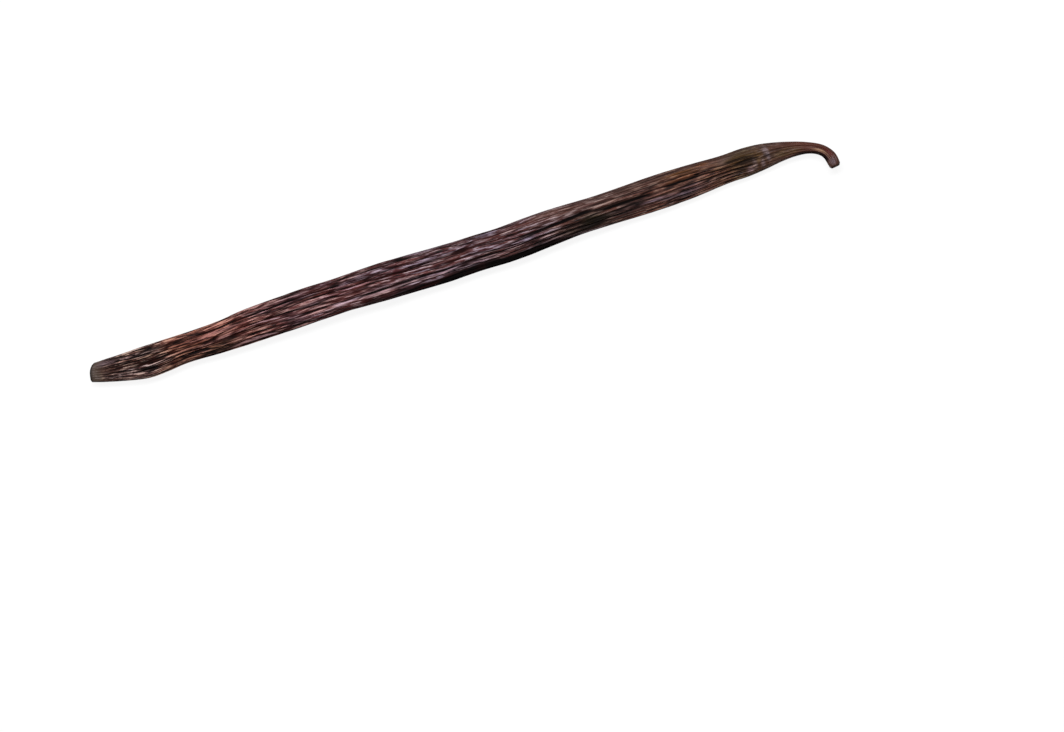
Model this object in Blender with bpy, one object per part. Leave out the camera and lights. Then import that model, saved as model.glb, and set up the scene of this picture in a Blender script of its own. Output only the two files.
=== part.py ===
"""A cured vanilla pod that lies on a table: one leathery, wrinkled solid with no separate pieces.

Metres, +Z up. X runs along the pod, from the blunt blossom end at -X to the hooked stalk at +X.
Z = 0 is the surface that the pod lies on, and the origin is the middle of its footprint's box.
Sizes below are in millimetres, and a distance is measured along the pod's axis from the blossom end.
"""

import bmesh
import bpy
import numpy as np

MM = 0.001

# Driving sizes
POD_LENGTH = 170.7
SINK = 0.35  # how far the soft pod presses itself flat where it touches the table
SECTION_POWER = 2.3  # 2 is an ellipse, and more is boxier

# Which way the axis points in plan, in degrees to the left of +X, at distances along the pod
HEADING = [
    (0, -9), (6, -7.2), (9, -6), (12, -1.5), (14, 2), (17, 3.6), (23, -0.3), (31, 2.4), (40, 1.4),
    (54, 0.2), (60, -0.6), (64, 0.2), (70, -0.4), (76, -1.5), (82, 0.3), (85, 1.5), (88, -0.8), (92, -1.4),
    (97, 2.4), (103, 2.3), (108, 0.8), (112, -0.5), (116, 0.3), (124, 0.5), (140, 0.8), (152, -0.5),
    (158, -6.5), (162, -15.5), (165, -32), (167.2, -58), (168.8, -80), (170.7, -83),
]
# Width across the pod in plan
WIDTH = [
    (0, 4.1), (2.5, 5.0), (6, 6.0), (12, 7.35), (16, 7.15), (20, 6.7), (28, 7.15), (36, 7.8), (50, 8.15),
    (57, 8.0), (67, 8.55), (76, 8.45), (90, 8.25), (97, 8.5), (103, 8.2), (110, 7.65), (122, 7.55),
    (132, 7.7), (139, 7.15), (144, 6.5), (149, 6.45), (153, 5.7), (156.5, 4.5), (160, 3.35),
    (163.5, 2.55), (166.5, 2.5), (168.8, 2.75), (170.7, 2.45),
]
# Thickness, from the underside to the top
THICKNESS = [
    (0, 2.6), (4, 3.4), (12, 4.6), (24, 5.2), (40, 5.7), (60, 6.0), (80, 6.2), (97, 6.3), (112, 5.8),
    (130, 5.7), (142, 5.2), (150, 4.4), (157, 3.2), (163, 2.3), (168, 2.1), (170.7, 2.5),
]
# Gap between the underside and the table, before the belly is pressed in by the sink above
LIFT = [
    (0, 1.3), (8, 0.5), (18, 0), (34, 0), (52, 0.45), (68, 0.3), (80, 0), (96, 0), (112, 0.35),
    (124, -0.1), (132, -0.3), (141, -0.3), (149, 0.1), (157, 1.1), (164, 2.0), (170.7, 2.6),
]
# Direction of one of the three blunt corners of the section: 90 is straight up, and the pod twists
CORNER = [(0, 20), (30, 35), (60, 30), (90, 62), (110, 80), (140, 84), (160, 100), (170.7, 110)]
CORNER_HEIGHT = 0.055  # as a share of the section's radius

# Folds of the dried skin: puffed ridges that run along the pod, parted by creases
FOLDS_AROUND = 20
FOLD_SEED = 41
FOLD_LENGTH = 9.0  # a crease keeps its depth over about this distance
FOLD_DEPTH = 0.60
SHALLOWEST = 0.25  # share of the depth that is left where a crease all but closes

# Long furrows that stand out: number of the mesh column they follow, start and end along the pod, depth, width
FURROWS = [
    (14, 95, 118, 0.60, 0.45),
    (16, 112, 131, 0.60, 0.45),
    (15, 126, 143, 0.60, 0.45),
    (18, 57, 99, 0.50, 0.45),
    (9, 20, 62, 0.55, 0.45),
    (11, 140, 155, 0.65, 0.35),
    (14, 142, 156, 0.70, 0.35),
    (18, 141, 154, 0.70, 0.35),
    (21, 139, 152, 0.65, 0.35),
    (9, 4, 19, 0.65, 0.40),
    (15, 5, 24, 0.70, 0.40),
    (21, 6, 30, 0.65, 0.40),
    (33, 30, 120, 0.60, 0.50),
    (45, 60, 150, 0.55, 0.50),
    (54, 12, 90, 0.60, 0.50),
]
FURROW_END = 6.0  # length over which a furrow fades out

# How the folds stray sideways together as they run along the pod, and the broad swells under them
STRAY_SEED = 12
STRAYS_AROUND = 5
STRAY_LENGTH = 17.0
STRAY = 0.026  # share of a full turn
# How each fold jostles its neighbours, so that they are of unequal width
JOSTLE_SEED = 3
JOSTLES_AROUND = 14
JOSTLE_LENGTH = 8.0
JOSTLE = 0.011  # share of a full turn
SWELL_SEED = 7
SWELLS_AROUND = 4
SWELL_LENGTH = 9.0
SWELL_HEIGHT = 0.15

# Ends: the scar where the blossom dropped leans in plan, and both ends have a rounded rim and a dished face
SCAR_REACH = 0.45  # how far the scar's rim is drawn out
SCAR_LEAN = 0.04  # millimetres along the pod for each millimetre to the left
SCAR_ROUNDING = 0.15  # the same for each square millimetre past the next value: the left corner is rounded off
ROUNDED_FROM = -0.3
SCAR_LEAN_FADES = 3.2
# Rings of an end's face, as (distance in from the end, share of the full section)
SCAR_RINGS = [(0.30, 0.0), (0.26, 0.42), (0.10, 0.68), (0.0, 0.82), (0.16, 0.95)]
CUT_RINGS = [(0.16, 0.0), (0.13, 0.34), (0.0, 0.54), (0.10, 0.76), (0.42, 0.94)]
END_SMOOTH = 1.8  # length over which the folds fade towards an end's rim

# Mesh: its columns stray with the folds, so that each crease keeps to one column
POINTS_AROUND = 3 * FOLDS_AROUND
RINGS_ALONG = 86
RING_GAP = [(0, 1.3), (10, 1.9), (60, 2.2), (145, 2.2), (157, 1.3), (163, 0.9), (170.7, 0.9)]

POD_COLOUR = (0.042, 0.019, 0.013, 1.0)
POD_ROUGHNESS = 0.42


def at_stations(stations, distance):
    """Reads a smooth curve through (distance, value) stations: cubic pieces that share their slope."""
    where, value = np.array(stations, float).T
    slope = np.gradient(value, where)
    low = np.clip(np.searchsorted(where, distance) - 1, 0, len(where) - 2)
    gap = where[low + 1] - where[low]
    t = np.clip((distance - where[low]) / gap, 0, 1)
    start = (1 + 2 * t) * (1 - t) ** 2 * value[low] + t * (1 - t) ** 2 * gap * slope[low]
    end = t**2 * (3 - 2 * t) * value[low + 1] - t**2 * (1 - t) * gap * slope[low + 1]
    return start + end


def smooth_step(low, high, x):
    """0 below low, 1 above high, and a smooth rise between."""
    t = np.clip((x - low) / (high - low), 0, 1)
    return t * t * (3 - 2 * t)


def axis_in_plan(distance):
    """The axis's x, y and heading in radians, from small steps taken along its heading."""
    fine = np.linspace(0, POD_LENGTH, 3409)
    heading = np.radians(at_stations(HEADING, fine))
    step = np.diff(fine)
    middle = (heading[1:] + heading[:-1]) / 2
    x = np.concatenate([[0], np.cumsum(np.cos(middle) * step)])
    y = np.concatenate([[0], np.cumsum(np.sin(middle) * step)])
    return (
        np.interp(distance, fine, x),
        np.interp(distance, fine, y),
        np.interp(distance, fine, heading),
    )


def skin_noise(seed, cells_around, cell_length, turn, distance):
    """Random values from -1 to 1 on a lattice that closes around the pod, blended smoothly between its points."""
    rows = int(POD_LENGTH / cell_length) + 3
    lattice = np.random.default_rng(seed).uniform(-1, 1, (rows, cells_around))
    u = turn % 1 * cells_around
    v = np.clip(distance, 0, POD_LENGTH) / cell_length
    col, row = np.floor(u).astype(int), np.floor(v).astype(int)
    fu, fv = u - col, v - row
    fu, fv = fu * fu * (3 - 2 * fu), fv * fv * (3 - 2 * fv)
    col, right = col % cells_around, (col + 1) % cells_around
    near = lattice[row, col] * (1 - fu) + lattice[row, right] * fu
    far = lattice[row + 1, col] * (1 - fu) + lattice[row + 1, right] * fu
    return near * (1 - fv) + far * fv


def crease_depth(turn, distance):
    """Depth of the creases: sharp at its bottom, nothing on top of a fold, and its own deep and shallow stretches."""
    fold = turn * FOLDS_AROUND
    nearest = np.round(fold) / FOLDS_AROUND
    deep = smooth_step(-0.6, 0.7, skin_noise(FOLD_SEED, FOLDS_AROUND, FOLD_LENGTH, nearest, distance))
    return FOLD_DEPTH * (SHALLOWEST + (1 - SHALLOWEST) * deep) * (1 - np.abs(np.sin(np.pi * fold)))


def furrow_depth(turn, distance, radius):
    """Depth of the named furrows: each is a smooth notch across, and fades at its two ends."""
    depth = np.zeros_like(distance)
    for column, start, end, deep, wide in FURROWS:
        off = (turn - column / POINTS_AROUND + 0.5) % 1 - 0.5
        across = np.exp(-((off * 2 * np.pi * radius / wide) ** 2))
        run = smooth_step(start, start + FURROW_END, distance) * smooth_step(-end, FURROW_END - end, -distance)
        depth = np.maximum(depth, deep * across * run)
    return depth


def relief(turn, distance, radius):
    """How far the skin lies under the pod's outer form: creases, furrows, and the hollows between swells."""
    crease = crease_depth(turn, distance)
    furrow = furrow_depth(turn, distance, radius)
    swell = SWELL_HEIGHT * (1 - skin_noise(SWELL_SEED, SWELLS_AROUND, SWELL_LENGTH, turn, distance)) / 2
    fade = smooth_step(0, END_SMOOTH, distance) * smooth_step(0, END_SMOOTH, POD_LENGTH - distance)
    slim = np.clip(radius / 3.2, 0, 1) ** 1.5
    return fade * slim * (np.maximum(crease, furrow) + swell)


def ring_distances():
    """Every ring's distance along the pod and its share of the full section, from one end's face to the other's."""
    scar, cut = np.array(SCAR_RINGS), np.array(CUT_RINGS)
    fine = np.linspace(scar[-1, 0] + 0.35, POD_LENGTH - cut[-1, 0] - 0.35, 3000)
    count = np.cumsum(1 / at_stations(RING_GAP, fine))
    body = np.interp(np.linspace(count[0], count[-1], RINGS_ALONG), count, fine)
    distance = np.concatenate([scar[:, 0], body, POD_LENGTH - cut[::-1, 0]])
    share = np.concatenate([scar[:, 1], np.ones(len(body)), cut[::-1, 1]])
    return distance, share


def pod_points():
    """The pod's surface as rings of points, in millimetres, with the box's middle at the origin."""
    distance, share = ring_distances()
    turn = np.arange(POINTS_AROUND) / POINTS_AROUND
    distance, turn = np.meshgrid(distance, turn, indexing="ij")
    share = np.broadcast_to(share[:, None], distance.shape)

    half_width = at_stations(WIDTH, distance) / 2
    half_thick = at_stations(THICKNESS, distance) / 2
    radius = (half_width + half_thick) / 2
    stray = STRAY * skin_noise(STRAY_SEED, STRAYS_AROUND, STRAY_LENGTH, turn, distance)
    jostle = JOSTLE * skin_noise(JOSTLE_SEED, JOSTLES_AROUND, JOSTLE_LENGTH, turn, distance)
    around = 2 * np.pi * (turn + stray + jostle)
    corner = np.radians(at_stations(CORNER, distance))
    form = 1 + CORNER_HEIGHT * np.cos(3 * (around - corner))
    size = share * (form - relief(turn, distance, radius) / radius)
    power = 2 / SECTION_POWER
    left = half_width * size * np.sign(np.cos(around)) * np.abs(np.cos(around)) ** power
    up = half_thick * size * np.sign(np.sin(around)) * np.abs(np.sin(around)) ** power

    x, y, heading = axis_in_plan(distance)
    lean = SCAR_LEAN * left + SCAR_ROUNDING * np.maximum(left - ROUNDED_FROM, 0) ** 2 - SCAR_REACH
    lean = lean * np.exp(-distance / SCAR_LEAN_FADES)
    x = x - left * np.sin(heading) + lean * np.cos(heading)
    y = y + left * np.cos(heading) + lean * np.sin(heading)
    middle = at_stations(LIFT, distance) + half_thick - SINK
    z = np.maximum(middle + up, 0)
    points = np.stack([x, y, z], axis=-1)
    low, high = points.min(axis=(0, 1)), points.max(axis=(0, 1))
    return points - [(low[0] + high[0]) / 2, (low[1] + high[1]) / 2, low[2]]


def skin_mesh(points):
    """Joins each ring to the next with quads, and the end rings, which are single points, with triangles."""
    bm = bmesh.new()
    first = bm.verts.new(points[0, 0] * MM)
    rings = [[bm.verts.new(p * MM) for p in ring] for ring in points[1:-1]]
    last = bm.verts.new(points[-1, 0] * MM)
    count = len(rings[0])
    for ring, following in zip(rings, rings[1:]):
        for i in range(count):
            j = (i + 1) % count
            bm.faces.new((ring[i], ring[j], following[j], following[i]))
    for i in range(count):
        j = (i + 1) % count
        bm.faces.new((first, rings[0][j], rings[0][i]))
        bm.faces.new((last, rings[-1][i], rings[-1][j]))
    bmesh.ops.recalc_face_normals(bm, faces=bm.faces)
    mesh = bpy.data.meshes.new("vanilla_pod")
    bm.to_mesh(mesh)
    bm.free()
    mesh.shade_smooth()
    return mesh


def skin_material():
    """Cured vanilla skin: nearly black brown, leathery and a little oily."""
    material = bpy.data.materials.new("cured_vanilla_skin")
    material.use_nodes = True
    shader = material.node_tree.nodes["Principled BSDF"]
    shader.inputs["Base Color"].default_value = POD_COLOUR
    shader.inputs["Roughness"].default_value = POD_ROUGHNESS
    shader.inputs["Metallic"].default_value = 0.0
    return material


def clear_scene():
    for obj in list(bpy.data.objects):
        bpy.data.objects.remove(obj)


def main():
    clear_scene()
    pod = bpy.data.objects.new("vanilla_pod", skin_mesh(pod_points()))
    pod.data.materials.append(skin_material())
    bpy.context.scene.collection.objects.link(pod)


main()
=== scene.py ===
"""A cured vanilla pod on a pale table top, seen from straight above.

Metres, +Z up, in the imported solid's frame."""

import math

import bpy
import numpy as np
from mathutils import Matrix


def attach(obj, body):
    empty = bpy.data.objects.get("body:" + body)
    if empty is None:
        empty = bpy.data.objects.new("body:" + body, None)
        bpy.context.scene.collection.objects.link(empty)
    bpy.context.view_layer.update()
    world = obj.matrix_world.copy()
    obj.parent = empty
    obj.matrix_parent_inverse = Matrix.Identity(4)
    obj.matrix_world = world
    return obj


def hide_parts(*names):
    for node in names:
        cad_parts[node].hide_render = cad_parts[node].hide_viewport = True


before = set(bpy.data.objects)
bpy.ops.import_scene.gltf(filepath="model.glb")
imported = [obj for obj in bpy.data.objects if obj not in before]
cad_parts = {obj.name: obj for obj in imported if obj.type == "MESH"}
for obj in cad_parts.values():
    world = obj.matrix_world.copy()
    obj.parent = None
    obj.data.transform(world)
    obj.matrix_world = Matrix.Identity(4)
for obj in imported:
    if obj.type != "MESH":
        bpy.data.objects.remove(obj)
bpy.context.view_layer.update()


# THE POD
# A whole vanilla fruit after curing: a leathery shell of fibrous skin around its oily seeds, dark
# brown to black, shrunk in the sun until it stands in long folds. One end has the blunt scar of the
# fallen blossom, and the other thins into the stalk, which was cut off and has bent into a hook.

MM = 0.001
POD_LENGTH = 170.7  # along the axis, and every distance below is in mm from the blossom end
AXIS_START = (-83.698, 1.604)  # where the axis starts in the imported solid's frame
SINK = 0.35  # how deep the underside is pressed flat where it lies on the table
DRAWN_IN = 0.05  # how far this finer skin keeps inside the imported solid's facets
SECTION_POWER = 2.3  # of the superellipse across the pod: 2 is an ellipse, and more is boxier

# Which way the axis points in plan, in degrees to the left of +X
HEADING = [
    (0, -9), (6, -7.2), (9, -6), (12, -1.5), (14, 2), (17, 3.6), (23, -0.3), (31, 2.4), (40, 1.4),
    (54, 0.2), (60, -0.6), (64, 0.2), (70, -0.4), (76, -1.5), (82, 0.3), (85, 1.5), (88, -0.8),
    (92, -1.4), (97, 2.4), (103, 2.3), (108, 0.8), (112, -0.5), (116, 0.3), (124, 0.5), (140, 0.8),
    (152, -0.5), (158, -6.5), (162, -15.5), (165, -32), (167.2, -58), (168.8, -80), (170.7, -83),
]
WIDTH = [
    (0, 4.1), (2.5, 5.0), (6, 6.0), (12, 7.35), (16, 7.15), (20, 6.7), (28, 7.15), (36, 7.8),
    (50, 8.15), (57, 8.0), (67, 8.55), (76, 8.45), (90, 8.25), (97, 8.5), (103, 8.2), (110, 7.65),
    (122, 7.55), (132, 7.7), (139, 7.15), (144, 6.5), (149, 6.45), (153, 5.7), (156.5, 4.5),
    (160, 3.35), (163.5, 2.55), (166.5, 2.5), (168.8, 2.75), (170.7, 2.45),
]
THICKNESS = [
    (0, 2.6), (4, 3.4), (12, 4.6), (24, 5.2), (40, 5.7), (60, 6.0), (80, 6.2), (97, 6.3),
    (112, 5.8), (130, 5.7), (142, 5.2), (150, 4.4), (157, 3.2), (163, 2.3), (168, 2.1),
    (170.7, 2.5),
]
# How high the underside stands over the table, before it is pressed flat
LIFT = [
    (0, 1.3), (8, 0.5), (18, 0), (34, 0), (52, 0.45), (68, 0.3), (80, 0), (96, 0), (112, 0.35),
    (124, -0.1), (132, -0.3), (141, -0.3), (149, 0.1), (157, 1.1), (164, 2.0), (170.7, 2.6),
]
# Which way the first of the three blunt corners points, in degrees around the pod from its +Y side
CORNER = [(0, 20), (30, 35), (60, 30), (90, 62), (110, 80), (140, 84), (160, 100), (170.7, 110)]
CORNER_HEIGHT = 0.055  # as a share of the radius

# The long folds between creases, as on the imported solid
FOLDS_AROUND = 20
FOLD_SEED = 41
FOLD_LENGTH = 9.0  # over which a crease deepens or fades
FOLD_DEPTH = 0.60
FOLD_RUN = (-0.6, 0.7)  # the noise at which a crease is at its shallowest and at its deepest
SHALLOWEST = 0.25  # as a share of the depth

# The furrows that stand out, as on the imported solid: column around, start, end, depth, width
FURROW_COLUMNS = 60
FURROWS = [
    (14, 95, 118, 0.60, 0.45),
    (16, 112, 131, 0.60, 0.45),
    (15, 126, 143, 0.60, 0.45),
    (18, 57, 99, 0.50, 0.45),
    (9, 20, 62, 0.55, 0.45),
    (11, 140, 155, 0.65, 0.35),
    (14, 142, 156, 0.70, 0.35),
    (18, 141, 154, 0.70, 0.35),
    (21, 139, 152, 0.65, 0.35),
    (9, 4, 19, 0.65, 0.40),
    (15, 5, 24, 0.70, 0.40),
    (21, 6, 30, 0.65, 0.40),
    (33, 30, 120, 0.60, 0.50),
    (45, 60, 150, 0.55, 0.50),
    (54, 12, 90, 0.60, 0.50),
]
FURROW_END = 6.0  # over which a furrow rises from nothing and falls again

# How the folds wander around the pod, slowly and quickly, as shares of a full turn
STRAY_SEED = 12
STRAYS_AROUND = 5
STRAY_LENGTH = 17.0
STRAY = 0.026
JOSTLE_SEED = 3
JOSTLES_AROUND = 14
JOSTLE_LENGTH = 8.0
JOSTLE = 0.011

# Broad hollows and swellings of the whole skin
SWELL_SEED = 7
SWELLS_AROUND = 4
SWELL_LENGTH = 9.0
SWELL_HEIGHT = 0.15

# The puffs between the folds: lengthways cells of skin parted by wrinkles, as seed, cells around,
# cell length and wrinkle depth. The large ones are about 0.8 mm across and the small ones 0.45 mm
LARGE_PUFFS = (5, 30, 11.0, 0.17)
SMALL_PUFFS = (17, 54, 7.0, 0.06)
LARGE_VALLEY = 0.9  # where a wrinkle has risen to its puffs, in cells as puffs() counts them
SMALL_VALLEY = 1.0
# How many cells two centres are apart around the pod where the wrinkle between them starts to
# count as lengthways, and where it fully does
LENGTHWAYS = (0.1, 0.55)
CROSSWAYS = 0.4  # how deep a crossways wrinkle is, as a share of a lengthways one
MEANDER_SEED = 29
MEANDERS_AROUND = 9
MEANDER_LENGTH = 6.0
MEANDER = 0.018  # share of a full turn
# How deep the wrinkles are at each distance, as a share of the depth above
WRINKLING = [
    (0, 0.05), (2, 0.2), (4, 0.9), (10, 1.1), (20, 1.1), (40, 1.0), (95, 1.0), (108, 0.95),
    (120, 0.85), (148, 0.9), (158, 0.4), (170.7, 0.2),
]
# The +Y side is calmer for a stretch, which starts, is full, fades and ends at these distances,
# from the first to the second cosine of the angle around
CALM_STRETCH = (96, 106, 150, 156)
CALM_REACH = (0.1, 0.5)
CALM = 0.6  # how much of the wrinkles it takes off
FLANK_REACH = (0.85, 0.99)  # the same cosines for both flanks, which are smoother all along
FLANK_CALM = 0.65
# Where the radius is smaller than this, the relief is weaker, by this power of their quotient
SLIM_BELOW = 3.2
SLIM_POWER = 1.5

# How much of the skin carries painted highlights at each distance, as a shift of where the pale
# streaks begin
HIGHLIGHT_SHARE = [
    (0, -0.12), (3, -0.02), (8, 0.03), (16, 0.07), (22, 0.07), (30, 0.065), (38, 0.035),
    (50, 0.025), (62, 0.02), (72, 0.005), (90, 0.015), (110, 0.01), (125, 0), (140, -0.01),
    (150, -0.02), (160, -0.06), (170.7, -0.06),
]
# How wide the painted shade lines along creases and wrinkles are at each distance, as a share of
# the widths below
LINE_WIDTH = [
    (0, 1.4), (14, 1.45), (24, 1.4), (50, 1.4), (66, 1.15), (80, 1), (100, 1), (112, 1.25),
    (127, 1.5), (138, 1.2), (150, 1), (170.7, 1),
]
# Where such a line starts to fade and where it has gone: across a fold as |sin|, and from a
# wrinkle's bottom in cells as puffs() counts them
CREASE_LINE = (0.14, 0.46)
LARGE_LINE = (0.05, 0.30)
SMALL_LINE = (0.04, 0.32)
FURROW_LINE = (0.60, 0.92)  # at which share of a furrow's depth its line starts and is full
# How dark the painted shade lines are at each distance, and how dark those of creases, furrows and
# the large and small wrinkles are beside that
LINE_DARKNESS = [
    (0, 1), (112, 1), (122, 1), (130, 0.98), (144, 0.93), (150, 0.85), (158, 0.8), (170.7, 0.8),
]
LINE_STRENGTHS = (1.0, 1.0, 0.95, 0.75)
CREASE_LEAST = 0.35  # how dark the shallowest crease is, as a share of the deepest
BARE_SCAR = (1.8, 3.4)  # the lines start over this stretch from the blossom end
BARE_CUT = (1.5, 4.0)  # and end over this one from the stalk's end

# Painted shade: how much darker the right side, turned away from the lamp, and the left flank's
# edge, where the light falls off, are at each distance
RIGHT_PAINTED_SHADE = [(0, 0), (14, 0), (24, 0.5), (54, 0.5), (68, 1), (104, 1), (120, 0), (170.7, 0)]
EDGE_PAINTED_SHADE = [
    (0, 0), (30, 0), (50, 0.45), (85, 0.5), (98, 0.3), (112, 0.45), (146, 0.5), (156, 0.1),
    (170.7, 0),
]
RIGHT_DARKEST = 0.92
RIGHT_FROM = 0.57  # the cosine of the angle to the -Y side at which the skin starts to darken
RIGHT_FADE = 0.26  # how much more it is where the skin is darkest
EDGE_REACH = (0.55, 0.92)  # both cosines for the left flank, of the angle to the +Y side
# Over this stretch the painted shade covers the inside of the hook too, and reaches farther around
# there
HOOK_STRETCH = (157, 162, 168, 169.5)
HOOK_REACH = 0.21
# The rims of both end faces are dark over these distances, on the faces' outer part only
SCAR_RIM = 0.50
CUT_RIM = 0.45
RIM_DARKEST = 0.85
RIM_SHARE = (0.45, 0.80)

# Patches where the skin has another colour, as stains and as painted light: middle along the pod,
# angle around it (90 is up, 0 its +Y side), half length, half width in mm, strength and colour. The
# lilac and mauve grey ones are painted highlights, reflections of the pale light on the oily skin.
# The two dark red brown ones on the lower half near 24 and 33 mm are painted shade, and the pale
# stripe on the hook is a painted highlight.
PATCHES = [
    # Painted highlights: mauve grey reflections near the blossom end
    (4, 50, 2.5, 0.9, 0.6, "#6c5c60"),
    (9, 135, 4, 1.1, 0.6, "#74666a"),
    (9, 55, 4, 1.0, 0.5, "#84665a"),
    # Partly a russet stain, partly painted highlight that brightens the upper half
    (22, 62, 5, 2.2, 0.4, "#8a5244"),
    (30, 68, 8, 2.0, 0.4, "#986058"),
    # Painted shade: the lower half darker here
    (24, 118, 7, 1.8, 0.4, "#4c2a22"),
    (33, 106, 4, 1.0, 0.35, "#4e2a26"),
    (29, 130, 3, 1.2, 0.6, "#5c4430"),
    # Painted highlights: lilac grey reflections
    (47, 52, 3.5, 1.1, 0.6, "#6a5860"),
    (46, 120, 3, 1.3, 0.6, "#5c4a58"),
    (61, 85, 5, 1.2, 0.55, "#6a3426"),
    # Painted highlights from here to 99 mm: lilac grey reflections
    (58, 60, 3, 1.2, 0.6, "#6a5662"),
    (76, 65, 4, 1.5, 0.4, "#5e4e58"),
    (66, 115, 8, 0.7, 0.9, "#907c84"),
    (83, 118, 9, 0.7, 0.9, "#907e88"),
    (90, 40, 3, 0.8, 0.5, "#5e5a68"),
    (87.5, 97, 1.4, 0.4, 0.7, "#66606a"),
    (99, 96, 1.9, 0.5, 0.8, "#78727e"),
    (107, 45, 6, 1.6, 0.6, "#5e3e32"),
    (112, 120, 7, 2.2, 0.8, "#2e2818"),
    (124, 45, 9, 1.8, 0.5, "#583e34"),
    (122, 125, 5, 1.8, 0.6, "#36221e"),
    # Painted highlights: thin lilac grey reflections along the ridges
    (128.6, 113, 3.4, 0.28, 0.95, "#867682"),
    (130.4, 126, 2.8, 0.25, 0.9, "#74666e"),
    (134.6, 120, 3.4, 0.28, 0.95, "#84747e"),
    (135.8, 103, 3.2, 0.28, 0.9, "#7c6c76"),
    (135, 138, 4, 0.9, 0.8, "#625a64"),
    (134.2, 64, 4.5, 1.5, 0.85, "#603e22"),
    (139.6, 38, 1.5, 0.7, 0.7, "#7c4a22"),
    # Painted highlight: a mauve grey reflection
    (144.5, 62, 1.6, 1.0, 0.5, "#806a6c"),
    (147, 70, 5, 1.6, 0.6, "#544226"),
    (152.0, 84, 1.2, 0.8, 0.6, "#6a4e26"),
    # Painted highlights: a mauve grey reflection and the pale cross marks of reflections near the
    # neck
    (149.4, 133, 0.8, 0.8, 0.9, "#806e70"),
    (150.6, 112, 0.50, 1.2, 0.55, "#94827f"),
    (153.5, 62, 0.60, 1.2, 0.60, "#8c7e80"),
    (153.9, 88, 0.40, 1.2, 0.50, "#8c7e80"),
    (152.4, 122, 0.45, 1.0, 0.50, "#84767a"),
    (158, 100, 3, 0.8, 0.5, "#5c4c26"),
    (167.0, 72, 1.4, 0.35, 0.8, "#5c1e14"),
    # Painted highlight: a lit stripe along the top of the hook
    (165.6, 98, 1.8, 0.2, 0.9, "#b08a6c"),
    (169.3, 90, 0.8, 0.8, 0.7, "#5e4c50"),
]
PATCH_EDGE = 1.5  # more makes a patch's edge sharper
RAGGED_SEED = 31
RAGGEDS_AROUND = 22
RAGGED_LENGTH = 2.2
RAGGED = 0.6  # how much the patches' edges fray

# The scar stands out past the axis's start by its reach and leans back to the left: by a share of
# how far left it is, and rounded by a share of the square of how far that is past ROUNDED_FROM
SCAR_REACH = 0.45
SCAR_LEAN = 0.04
SCAR_ROUNDING = 0.15
ROUNDED_FROM = -0.3
SCAR_LEAN_FADES = 3.2  # over which all of it fades along the pod
# The end faces, as profiles of (how far in from the end, share of the section)
SCAR_FACE = [(0.30, 0.0), (0.26, 0.42), (0.10, 0.68), (0.0, 0.82), (0.16, 0.95)]
CUT_FACE = [(0.16, 0.0), (0.13, 0.34), (0.03, 0.54), (0.10, 0.76), (0.42, 0.94)]
END_SMOOTH = 1.8  # over which the relief starts at each end

# The mesh's grid
FACE_RINGS = 14
BODY_RINGS = 382
POINTS_AROUND = 240
FACE_GAP = 0.1  # between an end face's outermost ring and the body's first
# The gap between rings at each distance, as a share of the gap halfway along
RING_GAP = [
    (0, 0.3), (3, 0.4), (8, 1), (148, 1), (151, 0.6), (157, 0.6), (160, 1), (167, 0.6),
    (170.7, 0.4),
]
RING_POINTS = 5000  # at which the gaps are summed
AXIS_POINTS = 3409  # between which the axis is summed


def at_stations(stations, distance):
    """A smooth curve through (distance, value) stations: cubic pieces that meet at one slope."""
    where, value = np.array(stations, float).T
    slope = np.gradient(value, where)
    low = np.clip(np.searchsorted(where, distance) - 1, 0, len(where) - 2)
    gap = where[low + 1] - where[low]
    t = np.clip((distance - where[low]) / gap, 0, 1)
    start = (1 + 2 * t) * (1 - t) ** 2 * value[low] + t * (1 - t) ** 2 * gap * slope[low]
    end = t**2 * (3 - 2 * t) * value[low + 1] - t**2 * (1 - t) * gap * slope[low + 1]
    return start + end


def smooth_step(low, high, x):
    """0 below low, 1 above high, and 3t² - 2t³ between."""
    t = np.clip((x - low) / (high - low), 0, 1)
    return t * t * (3 - 2 * t)


def stretch(start, full, fading, end, distance):
    """0 before start and past end, 1 from full to fading, and 3t² - 2t³ between."""
    return smooth_step(start, full, distance) * smooth_step(-end, -fading, -distance)


def skin_noise(seed, cells_around, cell_length, turn, distance):
    """Random values from -1 to 1 on a lattice that closes around the pod.

    They are blended by 3t² - 2t³ between the lattice's points."""
    rows = int(POD_LENGTH / cell_length) + 3
    lattice = np.random.default_rng(seed).uniform(-1, 1, (rows, cells_around))
    u = turn % 1 * cells_around
    v = np.clip(distance, 0, POD_LENGTH + cell_length) / cell_length
    col, row = np.floor(u).astype(int), np.floor(v).astype(int)
    fu, fv = u - col, v - row
    fu, fv = fu * fu * (3 - 2 * fu), fv * fv * (3 - 2 * fv)
    col, right = col % cells_around, (col + 1) % cells_around
    near = lattice[row, col] * (1 - fu) + lattice[row, right] * fu
    far = lattice[row + 1, col] * (1 - fu) + lattice[row + 1, right] * fu
    return near * (1 - fv) + far * fv


def crease_depth(turn, distance):
    """Depth of the creases between folds: 1 - |sin| across a fold, times each crease's own run.

    The run is smooth and random. With the depth comes the crease's painted shade, a narrower dark
    line along its bottom."""
    fold = turn * FOLDS_AROUND
    nearest = np.round(fold) / FOLDS_AROUND
    noise = skin_noise(FOLD_SEED, FOLDS_AROUND, FOLD_LENGTH, nearest, distance)
    deep = smooth_step(*FOLD_RUN, noise)
    across = np.abs(np.sin(np.pi * fold))
    wide = at_stations(LINE_WIDTH, distance)
    core = 1 - smooth_step(CREASE_LINE[0] * wide, CREASE_LINE[1] * wide, across)
    line = (CREASE_LEAST + (1 - CREASE_LEAST) * deep) * core
    return FOLD_DEPTH * (SHALLOWEST + (1 - SHALLOWEST) * deep) * (1 - across), line


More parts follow.
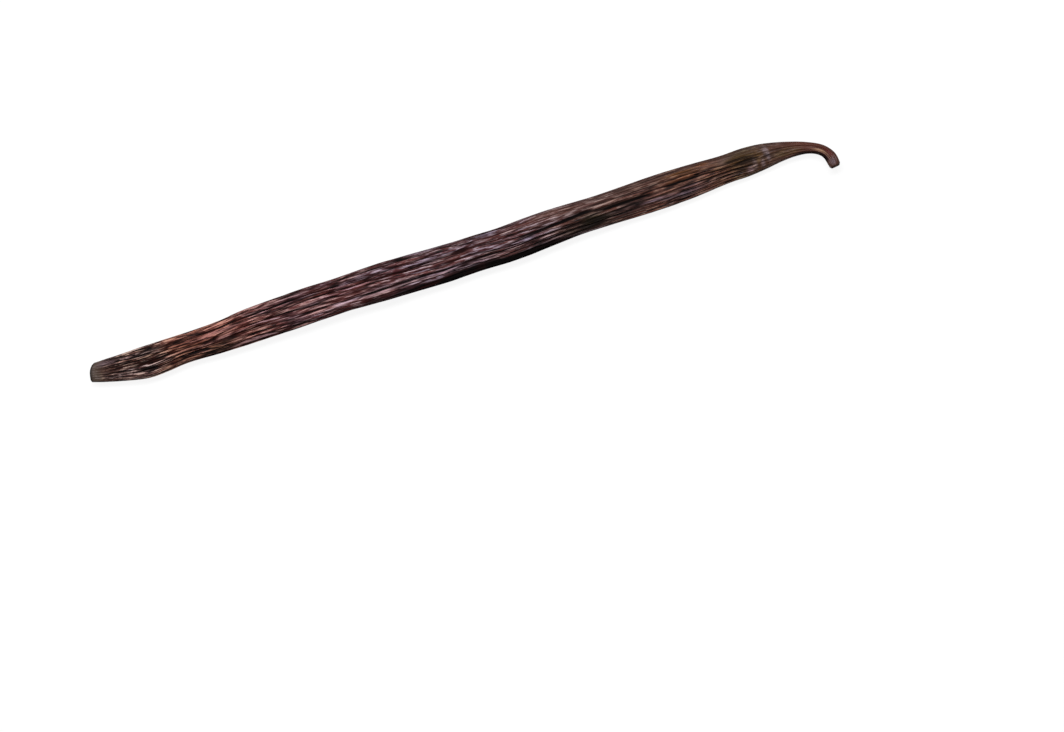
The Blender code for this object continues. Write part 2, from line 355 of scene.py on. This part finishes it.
def furrow_depth(turn, distance, radius):
    """Depth of the long furrows: a bell curve across each, times a smooth rise and fall along it.

    With it comes the furrow's painted shade, a narrower dark line along its bottom."""
    depth, line = np.zeros_like(distance), np.zeros_like(distance)
    for column, start, end, deep, wide in FURROWS:
        off = (turn - column / FURROW_COLUMNS + 0.5) % 1 - 0.5
        across = np.exp(-((off * 2 * np.pi * radius / wide) ** 2))
        run = stretch(start, start + FURROW_END, end - FURROW_END, end, distance)
        depth = np.maximum(depth, deep * across * run)
        line = np.maximum(line, smooth_step(*FURROW_LINE, across * run))
    return depth, line


def puffs(seed, cells_around, cell_length, turn, distance):
    """Cells of wrinkled skin around scattered centres, in three arrays.

    The first is how much farther the second nearest centre is than the nearest, counted in cells,
    which is 0 in a wrinkle. The next is the nearest cell's own random tone from 0 to 1. The last is
    how lengthways the wrinkle runs, from 0 to 1: a smooth step of how far around the pod the two
    centres are apart."""
    rows = int(POD_LENGTH / cell_length) + 5
    scatter = np.random.default_rng(seed).uniform(0, 1, (rows, cells_around, 3))
    meander = skin_noise(MEANDER_SEED, MEANDERS_AROUND, MEANDER_LENGTH, turn, distance)
    u = (turn + MEANDER * meander) * cells_around
    v = distance / cell_length + 2
    col, row = np.floor(u).astype(int), np.floor(v).astype(int)
    nearest, second = np.full(u.shape, np.inf), np.full(u.shape, np.inf)
    tone, aside, second_aside = np.zeros(u.shape), np.zeros(u.shape), np.zeros(u.shape)
    for across in (-1, 0, 1):
        for on in (-1, 0, 1):
            cell = scatter[np.clip(row + on, 0, rows - 1), (col + across) % cells_around]
            off = col + across + cell[..., 0] - u
            gap = np.hypot(off, row + on + cell[..., 1] - v)
            closer = gap < nearest
            second_aside = np.where(closer, aside, np.where(gap < second, off, second_aside))
            second = np.where(closer, nearest, np.minimum(second, gap))
            aside = np.where(closer, off, aside)
            tone = np.where(closer, cell[..., 2], tone)
            nearest = np.where(closer, gap, nearest)
    return second - nearest, tone, smooth_step(*LENGTHWAYS, np.abs(aside - second_aside))


def axis_in_plan(distance):
    """The axis's x, y and heading: the sum of small steps, each along its middle's heading."""
    fine = np.linspace(0, POD_LENGTH, AXIS_POINTS)
    heading = np.radians(at_stations(HEADING, fine))
    step = np.diff(fine)
    middle = (heading[1:] + heading[:-1]) / 2
    x = np.concatenate([[0], np.cumsum(np.cos(middle) * step)])
    y = np.concatenate([[0], np.cumsum(np.sin(middle) * step)])
    return tuple(np.interp(distance, fine, values) for values in (x, y, heading))


def rings_along():
    """Each ring's distance and its share of the full section.

    They follow the scar's smooth profile, then the body, then the cut's profile."""
    faces = []
    for face in (SCAR_FACE, CUT_FACE):
        step = np.linspace(0, len(face) - 1, FACE_RINGS)
        inset = at_stations([(i, point[0]) for i, point in enumerate(face)], step)
        share = at_stations([(i, point[1]) for i, point in enumerate(face)], step)
        faces.append((inset, np.maximum(share, 0)))
    (scar_in, scar_share), (cut_in, cut_share) = faces
    fine = np.linspace(scar_in[-1] + FACE_GAP, POD_LENGTH - cut_in[-1] - FACE_GAP, RING_POINTS)
    count = np.cumsum(1 / at_stations(RING_GAP, fine))
    body = np.interp(np.linspace(count[0], count[-1], BODY_RINGS), count, fine)
    distance = np.concatenate([scar_in, body, POD_LENGTH - cut_in[::-1]])
    share = np.concatenate([scar_share, np.ones(BODY_RINGS), cut_share[::-1]])
    return distance, share


def pod_surface():
    """The skin's points, in mm, and what its material reads, on a grid of rings and points around.

    The points are a superellipse of the width and thickness at each distance, with three blunt
    corners, less the relief, set across the axis and pressed flat at the table."""
    distance, share = rings_along()
    turn = np.arange(POINTS_AROUND) / POINTS_AROUND
    distance, turn = np.meshgrid(distance, turn, indexing="ij")
    share = np.broadcast_to(share[:, None], distance.shape)
    to_end = POD_LENGTH - distance

    # The relief
    half_width = at_stations(WIDTH, distance) / 2
    half_thick = at_stations(THICKNESS, distance) / 2
    radius = (half_width + half_thick) / 2
    crease, crease_line = crease_depth(turn, distance)
    furrow, furrow_line = furrow_depth(turn, distance, radius)
    large, large_tone, large_run = puffs(*LARGE_PUFFS[:3], turn, distance)
    small, small_tone, small_run = puffs(*SMALL_PUFFS[:3], turn, distance)
    to_left = np.cos(2 * np.pi * turn)
    calm = stretch(*CALM_STRETCH, distance) * smooth_step(*CALM_REACH, to_left)
    wrinkling = at_stations(WRINKLING, distance) * (1 - CALM * calm)
    large_valley = (1 - np.clip(large / LARGE_VALLEY, 0, 1)) ** 2
    small_valley = (1 - np.clip(small / SMALL_VALLEY, 0, 1)) ** 2
    large_valley = large_valley * (CROSSWAYS + (1 - CROSSWAYS) * large_run)
    small_valley = small_valley * (CROSSWAYS + (1 - CROSSWAYS) * small_run)
    flank = 1 - FLANK_CALM * smooth_step(*FLANK_REACH, np.abs(to_left))
    valleys = LARGE_PUFFS[3] * large_valley + SMALL_PUFFS[3] * small_valley
    wrinkle = wrinkling * flank * valleys
    swelling = skin_noise(SWELL_SEED, SWELLS_AROUND, SWELL_LENGTH, turn, distance)
    swell = SWELL_HEIGHT * (1 - swelling) / 2
    fade = smooth_step(0, END_SMOOTH, distance) * smooth_step(0, END_SMOOTH, to_end)
    slim = np.clip(radius / SLIM_BELOW, 0, 1) ** SLIM_POWER
    relief = fade * slim * (np.maximum(crease, furrow) + swell + wrinkle) + DRAWN_IN

    # The section
    stray = STRAY * skin_noise(STRAY_SEED, STRAYS_AROUND, STRAY_LENGTH, turn, distance)
    jostle = JOSTLE * skin_noise(JOSTLE_SEED, JOSTLES_AROUND, JOSTLE_LENGTH, turn, distance)
    around = 2 * np.pi * (turn + stray + jostle)
    corner = np.radians(at_stations(CORNER, distance))
    form = 1 + CORNER_HEIGHT * np.cos(3 * (around - corner))
    size = share * (form - relief / radius)
    power = 2 / SECTION_POWER
    left = half_width * size * np.sign(np.cos(around)) * np.abs(np.cos(around)) ** power
    up = half_thick * size * np.sign(np.sin(around)) * np.abs(np.sin(around)) ** power

    # Its place across the axis
    x, y, heading = axis_in_plan(distance)
    rounding = SCAR_ROUNDING * np.maximum(left - ROUNDED_FROM, 0) ** 2
    lean = SCAR_LEAN * left + rounding - SCAR_REACH
    lean = lean * np.exp(-distance / SCAR_LEAN_FADES)
    x = x - left * np.sin(heading) + lean * np.cos(heading) + AXIS_START[0]
    y = y + left * np.cos(heading) + lean * np.sin(heading) + AXIS_START[1]
    z = np.maximum(at_stations(LIFT, distance) + half_thick - SINK + up, 0)

    # How clear the skin is of dark: 1 on the crests, and 0 in the painted shade lines along
    # creases, furrows and wrinkles, in the painted shade of the right side, the hook's inside and
    # the left flank's edge, and on the dark rims
    wide = at_stations(LINE_WIDTH, distance)
    large_core = 1 - smooth_step(LARGE_LINE[0] * wide, LARGE_LINE[1] * wide, large)
    small_core = 1 - smooth_step(SMALL_LINE[0] * wide, SMALL_LINE[1] * wide, small)
    lines = (
        crease_line,
        furrow_line,
        wrinkling * large_run * large_core,
        wrinkling * small_run * small_core,
    )
    bare_end = smooth_step(*BARE_SCAR, distance) * smooth_step(*BARE_CUT, to_end)
    darkness = at_stations(LINE_DARKNESS, distance) * bare_end
    clear = np.ones_like(distance)
    for strength, line in zip(LINE_STRENGTHS, lines):
        clear = clear * (1 - strength * darkness * np.clip(line, 0, 1))
    # Painted shade on the right side, on the inside of the hook and on the left flank's edge
    hook = stretch(*HOOK_STRETCH, distance)
    right = RIGHT_DARKEST * (at_stations(RIGHT_PAINTED_SHADE, distance) + hook)
    reach = RIGHT_FROM - HOOK_REACH * hook
    clear = clear * (1 - right * smooth_step(reach, reach + RIGHT_FADE, -np.cos(around)))
    edge = at_stations(EDGE_PAINTED_SHADE, distance)
    clear = clear * (1 - edge * smooth_step(*EDGE_REACH, np.cos(around)))
    rims = np.exp(-((distance / SCAR_RIM) ** 2)) + np.exp(-((to_end / CUT_RIM) ** 2))
    clear = clear * (1 - RIM_DARKEST * np.clip(rims, 0, 1) * smooth_step(*RIM_SHARE, share))

    straight = [distance, radius * np.cos(around), radius * np.sin(around)]
    return {
        "points": np.stack([x, y, z], axis=-1),
        "straight": np.stack(straight, axis=-1),
        "crest": clear,
        "tone": (large_tone + small_tone) / 2,
        "grain": wrinkling,
        "highlight_amount": at_stations(HIGHLIGHT_SHARE, distance),
        "stain_and_painted_light": patches_of_stain_and_painted_light(distance, around, radius),
    }


def patches_of_stain_and_painted_light(distance, around, radius):
    """The patches' colour and share: a bell curve along and across each, laid over the last."""
    turn = around / (2 * np.pi)
    ragged = RAGGED * skin_noise(RAGGED_SEED, RAGGEDS_AROUND, RAGGED_LENGTH, turn, distance)
    colour = np.zeros((*distance.shape, 3))
    covered = np.zeros_like(distance)
    for where, turned, half_length, half_width, strength, code in PATCHES:
        off = (around - np.radians(turned)) * radius
        away = ((distance - where) / half_length) ** 2 + (off / half_width) ** 2
        share = np.clip(strength * np.exp(-(away**PATCH_EDGE) + ragged), 0, 1)
        total = covered + share - covered * share
        weight = (share / np.maximum(total, 1e-6))[..., None]
        colour = colour * (1 - weight) + np.array(linear(code)[:3]) * weight
        covered = total
    return np.concatenate([colour, covered[..., None]], axis=-1)


def skin_mesh(surface):
    """Quads between neighbouring rings, and a fan of triangles from the one point at each end."""
    rings, around = surface["crest"].shape
    at = np.arange(1, (rings - 2) * around + 1).reshape(rings - 2, around)
    beside = np.roll(at, -1, axis=1)
    quads = np.stack([at[:-1], beside[:-1], beside[1:], at[1:]], axis=-1).reshape(-1, 4)
    first, last = np.zeros(around, int), np.full(around, at[-1, -1] + 1)
    scar_fan = np.stack([first, beside[0], at[0]], axis=-1)
    cut_fan = np.stack([last, at[-1], beside[-1]], axis=-1)
    faces = quads.tolist() + scar_fan.tolist() + cut_fan.tolist()

    def in_order(values):
        flat = values[1:-1].reshape(-1, *values.shape[2:])
        return np.concatenate([values[0, :1], flat, values[-1, :1]])

    mesh = bpy.data.meshes.new("pod_skin")
    mesh.from_pydata((in_order(surface["points"]) * MM).tolist(), [], faces)
    kinds = {"straight": ("FLOAT_VECTOR", "vector"), "stain_and_painted_light": ("FLOAT_COLOR", "color")}
    for name in ("straight", "crest", "tone", "grain", "highlight_amount", "stain_and_painted_light"):
        kind, part = kinds.get(name, ("FLOAT", "value"))
        values = in_order(surface[name]).astype(np.float32)
        mesh.attributes.new(name, kind, "POINT").data.foreach_set(part, values.ravel())
    return mesh


def linear(code, alpha=1.0):
    """An sRGB hex colour as linear light: c/12.92 below 0.04045, else ((c+0.055)/1.055)^2.4."""
    c = np.array([int(code[i:i + 2], 16) for i in (1, 3, 5)]) / 255
    c = np.where(c <= 0.04045, c / 12.92, ((c + 0.055) / 1.055) ** 2.4)
    return (*c.tolist(), alpha)


pod = bpy.data.objects.new("pod_skin", skin_mesh(pod_surface()))
bpy.context.scene.collection.objects.link(pod)
pod.data.shade_smooth()


def add_node(tree, kind, settings=None, links=None):
    """Adds a node. Settings name its properties or inputs, and links the outputs that feed it."""
    node = tree.nodes.new(kind)
    for name, value in (settings or {}).items():
        if isinstance(name, str) and hasattr(node, name):
            setattr(node, name, value)
        else:
            node.inputs[name].default_value = value
    for name, output in (links or {}).items():
        tree.links.new(output, node.inputs[name])
    return node


def colour_stops(node, stops):
    """Gives a Color Ramp its stops, each a place from 0 to 1 and a hex colour."""
    elements = node.color_ramp.elements
    while len(elements) > 1:
        elements.remove(elements[-1])
    elements[0].position, elements[0].color = stops[0][0], linear(stops[0][1])
    for place, code in stops[1:]:
        elements.new(place).color = linear(code)


# Cured vanilla skin: a leathery rind, dried and sweated until it is oily. The oil gives the crests
# of its folds a soft gloss, and the brown turns redder where the skin is thin. Painted shade makes
# the creases nearly black, and the pale streaks on the crests are painted highlights. The colours
# go from the blossom end's grey scar over red brown to the brown stalk.
SKIN_STOPS = [
    (0, "#584c44"), (1.7, "#54453c"), (2.4, "#48332b"), (8, "#66473f"), (14, "#6e443c"),
    (22, "#764638"), (34, "#74443e"), (46, "#724444"), (60, "#744646"), (70, "#6c4244"),
    (97, "#663e3c"), (115, "#664640"), (130, "#785248"), (140, "#7e5a4e"), (148, "#523c2c"),
    (156, "#5a4036"), (162, "#5c3426"), (167, "#50281c"), (170.7, "#4a3228"),
]
# Painted highlights: the pale streaks on the crests, cream towards the blossom end, lilac grey in
# the middle and tan towards the stalk
CREST_HIGHLIGHT_STOPS = [
    (0, "#665a50"), (1.8, "#645848"), (3.4, "#b09282"), (6, "#e2d4c8"), (12, "#e8d6c6"),
    (20, "#e8b89c"), (27, "#e0b4a0"), (38, "#dcb8b4"), (50, "#d8bcc0"), (70, "#d2c6ce"),
    (88, "#ccc2cc"), (100, "#bcaeb4"), (115, "#bca8a0"), (130, "#b89e90"), (140, "#a4846c"),
    (149, "#807052"), (156, "#84685c"), (162, "#6c4030"), (170.7, "#624c40"),
]
# Painted shade in the crease lines: its red black colours along the pod, and the plain black it has
# elsewhere
CREASE_SHADE_STOPS = [
    (0, "#0a0605"), (10, "#1e0905"), (20, "#280b06"), (40, "#280a07"), (62, "#280908"),
    (90, "#160706"), (110, "#090504"), (150, "#0b0604"), (162, "#180705"), (170.7, "#0c0604"),
]
CREASE_SHADE_BLACK = "#050202"
CELL_TINTS = [(0.25, "#fee6da"), (0.5, "#f8e6e2"), (0.75, "#eee4ee")]
# Painted highlight: a patch's colour is this much brighter where the crests carry the painted
# highlights
PATCH_HIGHLIGHT = 2.2  # how much paler a patch is on the crests

# Sizes along and across the pod, in mm
GLOSS_SIZE = (5.0, 1.0)
STREAK_SIZE = (3.6, 0.26)
FINE_SIZE = (2.2, 0.34)
FINE_DEPTH = 0.08

# The noise at which each effect starts and is full
REDDENED = (0.50, 0.60)
STREAKED = (0.57, 0.68)
STREAK_BY_TONE = 0.08  # how much more of a pale cell is streaked
LINED = (0.35, 0.45)
GLOSS_NOISE = (0.3, 0.7)
GLOSS_ROUGHNESS = (0.18, 0.32)
CREASE_ROUGHNESS = 0.85

skin = bpy.data.materials.new("cured_vanilla_skin")
skin.use_nodes = True
tree = skin.node_tree
tree.nodes.clear()
straight = add_node(tree, "ShaderNodeAttribute", {"attribute_name": "straight"})
crest = add_node(tree, "ShaderNodeAttribute", {"attribute_name": "crest"})
tone = add_node(tree, "ShaderNodeAttribute", {"attribute_name": "tone"})
grain = add_node(tree, "ShaderNodeAttribute", {"attribute_name": "grain"})
highlight_amount = add_node(tree, "ShaderNodeAttribute", {"attribute_name": "highlight_amount"})
stain_and_painted_light = add_node(tree, "ShaderNodeAttribute", {"attribute_name": "stain_and_painted_light"})
apart = add_node(tree, "ShaderNodeSeparateXYZ", links={"Vector": straight.outputs["Vector"]})
along = add_node(
    tree, "ShaderNodeMath", {"operation": "DIVIDE", 1: POD_LENGTH}, {0: apart.outputs["X"]}
)
skin_ramp, crest_highlight_ramp, crease_shade_ramp = (
    add_node(tree, "ShaderNodeValToRGB", links={"Fac": along.outputs[0]}) for _ in range(3)
)
for ramp, stops in (
    (skin_ramp, SKIN_STOPS), (crest_highlight_ramp, CREST_HIGHLIGHT_STOPS), (crease_shade_ramp, CREASE_SHADE_STOPS)
):
    colour_stops(ramp, [(distance / POD_LENGTH, code) for distance, code in stops])

# Dull and bright stretches of the oily coat. In some of them the painted shade in the creases is a
# deep red
gloss_place = add_node(
    tree,
    "ShaderNodeMapping",
    {"Scale": (1 / GLOSS_SIZE[0], 1 / GLOSS_SIZE[1], 1 / GLOSS_SIZE[1])},
    {"Vector": straight.outputs["Vector"]},
)
gloss = add_node(
    tree, "ShaderNodeTexNoise", {"Scale": 1.0, "Detail": 3.0}, {"Vector": gloss_place.outputs[0]}
)
reddened = add_node(
    tree,
    "ShaderNodeMapRange",
    {"From Min": REDDENED[0], "From Max": REDDENED[1]},
    {"Value": gloss.outputs["Fac"]},
)
crease_shade_colour = add_node(
    tree,
    "ShaderNodeMix",
    {"data_type": "RGBA", 6: linear(CREASE_SHADE_BLACK)},
    {0: reddened.outputs[0], 7: crease_shade_ramp.outputs["Color"]},
)

# Stained patches and patches of painted highlight and shade, with a brighter copy of their colour
# for the painted highlights on the crests
skin_colour = add_node(
    tree,
    "ShaderNodeMix",
    {"data_type": "RGBA"},
    {0: stain_and_painted_light.outputs["Alpha"], 6: skin_ramp.outputs["Color"], 7: stain_and_painted_light.outputs["Color"]},
)
stain_highlight = add_node(
    tree,
    "ShaderNodeVectorMath",
    {"operation": "SCALE", "Scale": PATCH_HIGHLIGHT},
    {0: stain_and_painted_light.outputs["Color"]},
)
crest_highlight_colour = add_node(
    tree,
    "ShaderNodeMix",
    {"data_type": "RGBA"},
    {0: stain_and_painted_light.outputs["Alpha"], 6: crest_highlight_ramp.outputs["Color"], 7: stain_highlight.outputs[0]},
)

# Each cell of skin is a little warmer or cooler than the next
cell_tint = add_node(tree, "ShaderNodeValToRGB", links={"Fac": tone.outputs["Fac"]})
colour_stops(cell_tint, CELL_TINTS)
tinted_skin = add_node(
    tree,
    "ShaderNodeMix",
    {"data_type": "RGBA", "blend_type": "MULTIPLY"},
    {0: grain.outputs["Fac"], 6: skin_colour.outputs[2], 7: cell_tint.outputs["Color"]},
)
tinted_crest_highlight = add_node(
    tree,
    "ShaderNodeMix",
    {"data_type": "RGBA", "blend_type": "MULTIPLY"},
    {0: grain.outputs["Fac"], 6: crest_highlight_colour.outputs[2], 7: cell_tint.outputs["Color"]},
)

# Painted highlights: pale streaks on the crests
streak_place = add_node(
    tree,
    "ShaderNodeMapping",
    {"Scale": (1 / STREAK_SIZE[0], 1 / STREAK_SIZE[1], 1 / STREAK_SIZE[1])},
    {"Vector": straight.outputs["Vector"]},
)
streak = add_node(
    tree,
    "ShaderNodeTexNoise",
    {"Scale": 1.0, "Detail": 2.0, "Roughness": 0.6},
    {"Vector": streak_place.outputs[0]},
)
toned = add_node(
    tree,
    "ShaderNodeMath",
    {"operation": "MULTIPLY_ADD", 1: STREAK_BY_TONE},
    {0: tone.outputs["Fac"], 2: streak.outputs["Fac"]},
)
shifted = add_node(
    tree,
    "ShaderNodeMath",
    {"operation": "ADD"},
    {0: toned.outputs[0], 1: highlight_amount.outputs["Fac"]},
)
streak_share = add_node(
    tree,
    "ShaderNodeMapRange",
    {"From Min": STREAKED[0], "From Max": STREAKED[1]},
    {"Value": shifted.outputs[0]},
)
streak_on_crest = add_node(
    tree,
    "ShaderNodeMath",
    {"operation": "MULTIPLY"},
    {0: streak_share.outputs[0], 1: crest.outputs["Fac"]},
)

# Between them run thin dark lines of painted shade, where the skin has a grain
dark_line = add_node(
    tree,
    "ShaderNodeMapRange",
    {"From Min": LINED[0], "From Max": LINED[1]},
    {"Value": streak.outputs["Fac"]},
)
lined = add_node(
    tree,
    "ShaderNodeMix",
    {"data_type": "FLOAT", 2: 1.0},
    {0: grain.outputs["Fac"], 3: dark_line.outputs[0]},
)
lined_crest = add_node(
    tree,
    "ShaderNodeMath",
    {"operation": "MULTIPLY"},
    {0: crest.outputs["Fac"], 1: lined.outputs[0]},
)
body_colour = add_node(
    tree,
    "ShaderNodeMix",
    {"data_type": "RGBA"},
    {0: lined_crest.outputs[0], 6: crease_shade_colour.outputs[2], 7: tinted_skin.outputs[2]},
)
highlighted = add_node(
    tree,
    "ShaderNodeMix",
    {"data_type": "RGBA"},
    {0: streak_on_crest.outputs[0], 6: body_colour.outputs[2], 7: tinted_crest_highlight.outputs[2]},
)

# The oily coat leaves the creases matt
roughness = add_node(
    tree,
    "ShaderNodeMapRange",
    {
        "From Min": GLOSS_NOISE[0],
        "From Max": GLOSS_NOISE[1],
        "To Min": GLOSS_ROUGHNESS[0],
        "To Max": GLOSS_ROUGHNESS[1],
    },
    {"Value": gloss.outputs["Fac"]},
)
matt_crease = add_node(
    tree,
    "ShaderNodeMix",
    {"data_type": "FLOAT", 2: CREASE_ROUGHNESS},
    {0: crest.outputs["Fac"], 3: roughness.outputs[0]},
)

# Fine wrinkles, as strong as the grain of the skin there
fine_place = add_node(
    tree,
    "ShaderNodeMapping",
    {"Scale": (1 / FINE_SIZE[0], 1 / FINE_SIZE[1], 1 / FINE_SIZE[1])},
    {"Vector": straight.outputs["Vector"]},
)
fine = add_node(
    tree,
    "ShaderNodeTexNoise",
    {"Scale": 1.0, "Detail": 3.0, "Roughness": 0.55},
    {"Vector": fine_place.outputs[0]},
)
grained = add_node(
    tree,
    "ShaderNodeMath",
    {"operation": "MULTIPLY"},
    {0: fine.outputs["Fac"], 1: grain.outputs["Fac"]},
)
fine_bump = add_node(
    tree,
    "ShaderNodeBump",
    {"Strength": 1.0, "Distance": FINE_DEPTH * MM},
    {"Height": grained.outputs[0]},
)
shader = add_node(
    tree,
    "ShaderNodeBsdfPrincipled",
    {"IOR": 1.46, "Specular IOR Level": 0.13, "Specular Tint": (1.0, 0.88, 0.90, 1.0)},
    {
        "Base Color": highlighted.outputs[2],
        "Roughness": matt_crease.outputs[0],
        "Normal": fine_bump.outputs["Normal"],
    },
)
add_node(tree, "ShaderNodeOutputMaterial", links={"Surface": shader.outputs["BSDF"]})
pod.data.materials.append(skin)

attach(pod, "root")
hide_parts("vanilla_pod")


# THE TABLE TOP
# A plain white board under the pod, matt and larger than the picture. It glows a little, so that
# it stays white and shows only the pod's soft shadow.

FLOOR_CORNERS = [(-1.5, -1.5, 0), (1.5, -1.5, 0), (1.5, 1.5, 0), (-1.5, 1.5, 0)]
BOARD_COLOUR = "#666666"
BOARD_GLOW = 0.9

floor_mesh = bpy.data.meshes.new("table_top")
floor_mesh.from_pydata(FLOOR_CORNERS, [], [(0, 1, 2, 3)])
floor = bpy.data.objects.new("table_top", floor_mesh)
bpy.context.scene.collection.objects.link(floor)

white_board = bpy.data.materials.new("matt_white_board")
white_board.use_nodes = True
board_shader = white_board.node_tree.nodes["Principled BSDF"]
board_shader.inputs["Base Color"].default_value = linear(BOARD_COLOUR)
board_shader.inputs["Emission Color"].default_value = linear("#ffffff")
board_shader.inputs["Emission Strength"].default_value = BOARD_GLOW
board_shader.inputs["Roughness"].default_value = 0.9
board_shader.inputs["Specular IOR Level"].default_value = 0.1
floor.data.materials.append(white_board)


# LIGHT AND CAMERA
# A broad soft lamp from the picture's top, pale light from all around, and a lens that looks
# straight down.

PICTURE_TURN = math.radians(17.8)  # how far the pod's X axis is turned in the picture
VIEW_CENTRE = (91.2, -27.7)  # the picture's middle, in mm from where the axis starts
VIEW_DISTANCE = 0.640
POD_MIDDLE = 0.003  # how high over the table the distance is measured from
LENS = 100
SENSOR_WIDTH = 36
ROOM_LIGHT = 0.08

picture_up = (math.sin(PICTURE_TURN), math.cos(PICTURE_TURN))
picture_right = (math.cos(PICTURE_TURN), -math.sin(PICTURE_TURN))
centre = ((AXIS_START[0] + VIEW_CENTRE[0]) * MM, (AXIS_START[1] + VIEW_CENTRE[1]) * MM)

camera_data = bpy.data.cameras.new("camera")
camera_data.lens = LENS
camera_data.sensor_width = SENSOR_WIDTH
camera_data.clip_start = 0.01
camera = bpy.data.objects.new("camera", camera_data)
camera.location = (centre[0], centre[1], VIEW_DISTANCE + POD_MIDDLE)
camera.rotation_euler = (0, 0, -PICTURE_TURN)
bpy.context.scene.collection.objects.link(camera)
bpy.context.scene.camera = camera


def soft_lamp(name, across, up, height, size, power, colour):
    """A rectangular lamp that faces the pod's middle, so many metres across and up the picture."""
    lamp_data = bpy.data.lights.new(name, "AREA")
    lamp_data.shape = "RECTANGLE"
    lamp_data.size, lamp_data.size_y = size
    lamp_data.energy = power
    lamp_data.color = colour
    lamp = bpy.data.objects.new(name, lamp_data)
    x = across * picture_right[0] + up * picture_up[0]
    y = across * picture_right[1] + up * picture_up[1]
    lamp.location = (x, y, height)
    away = np.array([x, y, height]) / np.linalg.norm([x, y, height])
    lamp.rotation_euler = (math.acos(away[2]), 0, math.atan2(away[0], -away[1]))
    bpy.context.scene.collection.objects.link(lamp)


soft_lamp(
    "key_lamp",
    across=-0.10,
    up=0.30,
    height=0.80,
    size=(0.7, 0.24),
    power=8.0,
    colour=(0.97, 0.98, 1.0),
)

world = bpy.data.worlds.new("pale_room")
bpy.context.scene.world = world
world.use_nodes = True
world.node_tree.nodes["Background"].inputs["Color"].default_value = (1, 1, 1, 1)
world.node_tree.nodes["Background"].inputs["Strength"].default_value = ROOM_LIGHT
bpy.context.scene.view_settings.view_transform = "Standard"
bpy.context.scene.view_settings.look = "None"
